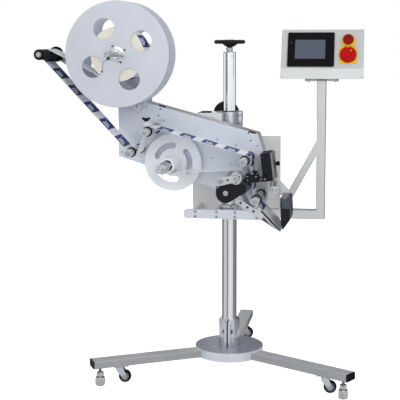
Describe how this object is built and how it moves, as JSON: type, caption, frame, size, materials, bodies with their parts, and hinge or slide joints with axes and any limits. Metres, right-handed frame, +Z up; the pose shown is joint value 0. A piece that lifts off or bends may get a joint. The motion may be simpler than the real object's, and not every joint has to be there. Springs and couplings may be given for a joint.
{
  "type": "label applicator",
  "caption": "Label applicator on a column with a three-legged caster base, supply reel, web rollers, rewinder and tilting control panel.",
  "frame": {"origin": "on the floor under the middle of the whole machine's bounding box", "axes": "+Z up along the column, +X to the machine's right seen from the operator, +Y from the operator to the back"},
  "size_m": [1.219, 1.112, 1.515],
  "materials": {
    "base_grey": "satin grey coat with a bare turned rim",
    "brushed_tube": "brushed stainless steel",
    "black_plastic": "moulded black, satin",
    "foot_steel": "zinc plated",
    "zinc": "bright zinc plate",
    "black_rubber": "black rubber",
    "grey_rubber": "dark grey rubber cover",
    "light_alloy": "clear anodised, machined",
    "roller_alloy": "ground and clear anodised",
    "screw_steel": "plain steel",
    "chrome_tube": "hard chrome, ground",
    "bronze": "plain bearing bronze",
    "pale_plate": "pale blue-grey anodised sheet",
    "warm_plate": "warm grey anodised plate",
    "label_paper": "coated paper labels on a glassine liner",
    "panel_paint": "off-white powder coat",
    "yellow_plastic": "yellow moulding beside a black screen bezel",
    "red_plastic": "red moulding"
  },
  "bodies": {
    "base": {"base_plate": "base_grey", "leg_left": "brushed_tube", "leg_right": "brushed_tube", "leg_rear": "brushed_tube", "leg_end_caps": "black_plastic", "caster_plates": "zinc", "base_clamp": "light_alloy", "base_screws": "screw_steel", "lower_tube": "chrome_tube", "guide_bush": "bronze", "screw_post": "foot_steel"},
    "head": {"upper_tube": "chrome_tube", "top_plug": "light_alloy", "upper_clamp": "light_alloy", "front_bar": "pale_plate", "frame_ribs": "light_alloy", "head_screws": "screw_steel", "back_plate": "warm_plate", "main_plate": "pale_plate", "bearing_housings": "light_alloy", "roller_spindles": "screw_steel", "drive_motor": "black_plastic", "belt_guard": "black_plastic", "web_loop": "label_paper", "label_web": "label_paper", "liner_web": "label_paper", "peel_beam": "light_alloy", "label_sensor": "black_plastic", "control_box": "black_plastic", "brush_block": "black_plastic", "panel_frame": "brushed_tube"},
    "lift_screw": {"lead_screw": "screw_steel", "handwheel": "black_plastic"},
    "clamp_knob": {"rear_knob": "black_plastic"},
    "supply_reel": {"reel_shaft": "chrome_tube", "reel_discs": "pale_plate", "label_roll": "label_paper"},
    "rewinder": {"rewind_shaft": "light_alloy", "rewind_reel": "pale_plate"},
    "dancer": {"dancer_arm": "light_alloy"},
    "dancer_roll": {"dancer_roller": "black_rubber"},
    "guide_lower_left": {"lower_left_roller": "roller_alloy"},
    "guide_upper_left": {"upper_left_roller": "roller_alloy"},
    "guide_upper_right": {"upper_right_roller": "roller_alloy"},
    "guide_lower_right": {"lower_right_roller": "roller_alloy"},
    "drive_roll": {"drive_roller": "grey_rubber"},
    "pinch_roll": {"pinch_roller": "chrome_tube"},
    "control_panel": {"panel_shell": "panel_paint", "panel_fittings": "yellow_plastic"},
    "stop_button": {"estop_button": "red_plastic"},
    "main_switch": {"switch_dial": "red_plastic"},
    "foot_left": {"foot_left": "foot_steel"},
    "caster_left": {"caster_fork_left": "zinc"},
    "wheel_left": {"caster_wheel_left": "black_rubber"},
    "foot_right": {"foot_right": "foot_steel"},
    "caster_right": {"caster_fork_right": "zinc"},
    "wheel_right": {"caster_wheel_right": "black_rubber"},
    "foot_rear": {"foot_rear": "foot_steel"},
    "caster_rear": {"caster_fork_rear": "zinc"},
    "wheel_rear": {"caster_wheel_rear": "black_rubber"}
  },
  "joints": [
    {"name": "foot_left_height", "type": "slide", "parent": "base", "child": "foot_left", "axis": [0, 0, -1], "range_m": [0, 0.015]},
    {"name": "caster_left_swivel", "type": "hinge", "parent": "base", "child": "caster_left", "pos_m": [-0.33926, -0.27, 0.07], "axis": [0, 0, 1], "continuous": true},
    {"name": "wheel_left_roll", "type": "hinge", "parent": "caster_left", "child": "wheel_left", "pos_m": [-0.31926, -0.27, 0.03], "axis": [0, 1, 0], "continuous": true},
    {"name": "foot_right_height", "type": "slide", "parent": "base", "child": "foot_right", "axis": [0, 0, -1], "range_m": [0, 0.015]},
    {"name": "caster_right_swivel", "type": "hinge", "parent": "base", "child": "caster_right", "pos_m": [0.47826, -0.27, 0.07], "axis": [0, 0, 1], "continuous": true},
    {"name": "wheel_right_roll", "type": "hinge", "parent": "caster_right", "child": "wheel_right", "pos_m": [0.49826, -0.27, 0.03], "axis": [0, 1, 0], "continuous": true},
    {"name": "foot_rear_height", "type": "slide", "parent": "base", "child": "foot_rear", "axis": [0, 0, -1], "range_m": [0, 0.015]},
    {"name": "caster_rear_swivel", "type": "hinge", "parent": "base", "child": "caster_rear", "pos_m": [0.0695, 0.438, 0.07], "axis": [0, 0, 1], "continuous": true},
    {"name": "wheel_rear_roll", "type": "hinge", "parent": "caster_rear", "child": "wheel_rear", "pos_m": [0.0895, 0.438, 0.03], "axis": [0, 1, 0], "continuous": true},
    {"name": "head_height", "type": "slide", "parent": "base", "child": "head", "axis": [0, 0, 1], "range_m": [0, 0.25]},
    {"name": "handwheel_turn", "type": "hinge", "parent": "head", "child": "lift_screw", "pos_m": [0.0695, -0.034, 1.361], "axis": [0, 0, 1], "continuous": true},
    {"name": "knob_turn", "type": "hinge", "parent": "head", "child": "clamp_knob", "pos_m": [0.0455, 0.046, 1.064], "axis": [0, 1, 0], "continuous": true},
    {"name": "supply_turn", "type": "hinge", "parent": "head", "child": "supply_reel", "pos_m": [-0.3065, -0.338, 1.315], "axis": [0, 1, 0], "continuous": true},
    {"name": "rewind_turn", "type": "hinge", "parent": "head", "child": "rewinder", "pos_m": [-0.1185, -0.338, 0.896], "axis": [0, 1, 0], "continuous": true},
    {"name": "lower_left_turn", "type": "hinge", "parent": "head", "child": "guide_lower_left", "pos_m": [-0.2485, -0.338, 0.949], "axis": [0, 1, 0], "continuous": true},
    {"name": "upper_left_turn", "type": "hinge", "parent": "head", "child": "guide_upper_left", "pos_m": [-0.1855, -0.338, 1.027], "axis": [0, 1, 0], "continuous": true},
    {"name": "upper_right_turn", "type": "hinge", "parent": "head", "child": "guide_upper_right", "pos_m": [0.1815, -0.338, 0.924], "axis": [0, 1, 0], "continuous": true},
    {"name": "lower_right_turn", "type": "hinge", "parent": "head", "child": "guide_lower_right", "pos_m": [0.2265, -0.338, 0.78], "axis": [0, 1, 0], "continuous": true},
    {"name": "drive_turn", "type": "hinge", "parent": "head", "child": "drive_roll", "pos_m": [0.17221, -0.338, 0.81998], "axis": [0, 1, 0], "continuous": true},
    {"name": "pinch_turn", "type": "hinge", "parent": "head", "child": "pinch_roll", "pos_m": [0.1535, -0.338, 0.862], "axis": [0, 1, 0], "continuous": true},
    {"name": "dancer_swing", "type": "hinge", "parent": "head", "child": "dancer", "pos_m": [-0.2625, -0.259, 1.111], "axis": [0, 1, 0], "range_deg": [-6, 6], "stiffness_Nm_per_rad": 60, "deforming": ["web_loop"]},
    {"name": "dancer_roll_turn", "type": "hinge", "parent": "dancer", "child": "dancer_roll", "pos_m": [-0.5845, -0.338, 1.314], "axis": [0, 1, 0], "continuous": true},
    {"name": "panel_tilt", "type": "hinge", "parent": "head", "child": "control_panel", "pos_m": [0.443, -0.072, 1.21], "axis": [1, 0, 0], "range_deg": [-15, 15]},
    {"name": "stop_press", "type": "slide", "parent": "control_panel", "child": "stop_button", "axis": [0, 0.9272, -0.3746], "range_m": [0, 0.004], "stiffness_N_per_m": 600},
    {"name": "switch_turn", "type": "hinge", "parent": "control_panel", "child": "main_switch", "pos_m": [0.5445, -0.08656, 1.31061], "axis": [0, 0.9272, -0.3746], "range_deg": [0, 90]}
  ],
  "couplings": [
    {"joint": "dancer_roll_turn", "follows": "supply_turn", "ratio": -5.15},
    {"joint": "lower_left_turn", "follows": "supply_turn", "ratio": -6.8667},
    {"joint": "upper_left_turn", "follows": "supply_turn", "ratio": 6.8667},
    {"joint": "upper_right_turn", "follows": "supply_turn", "ratio": 6.8667},
    {"joint": "lower_right_turn", "follows": "supply_turn", "ratio": -6.8667},
    {"joint": "drive_turn", "follows": "supply_turn", "ratio": 4.6818},
    {"joint": "pinch_turn", "follows": "supply_turn", "ratio": -4.5778},
    {"joint": "rewind_turn", "follows": "supply_turn", "ratio": 3.5517},
    {"joint": "handwheel_turn", "follows": "head_height", "rad_per_m": 628.32}
  ]
}
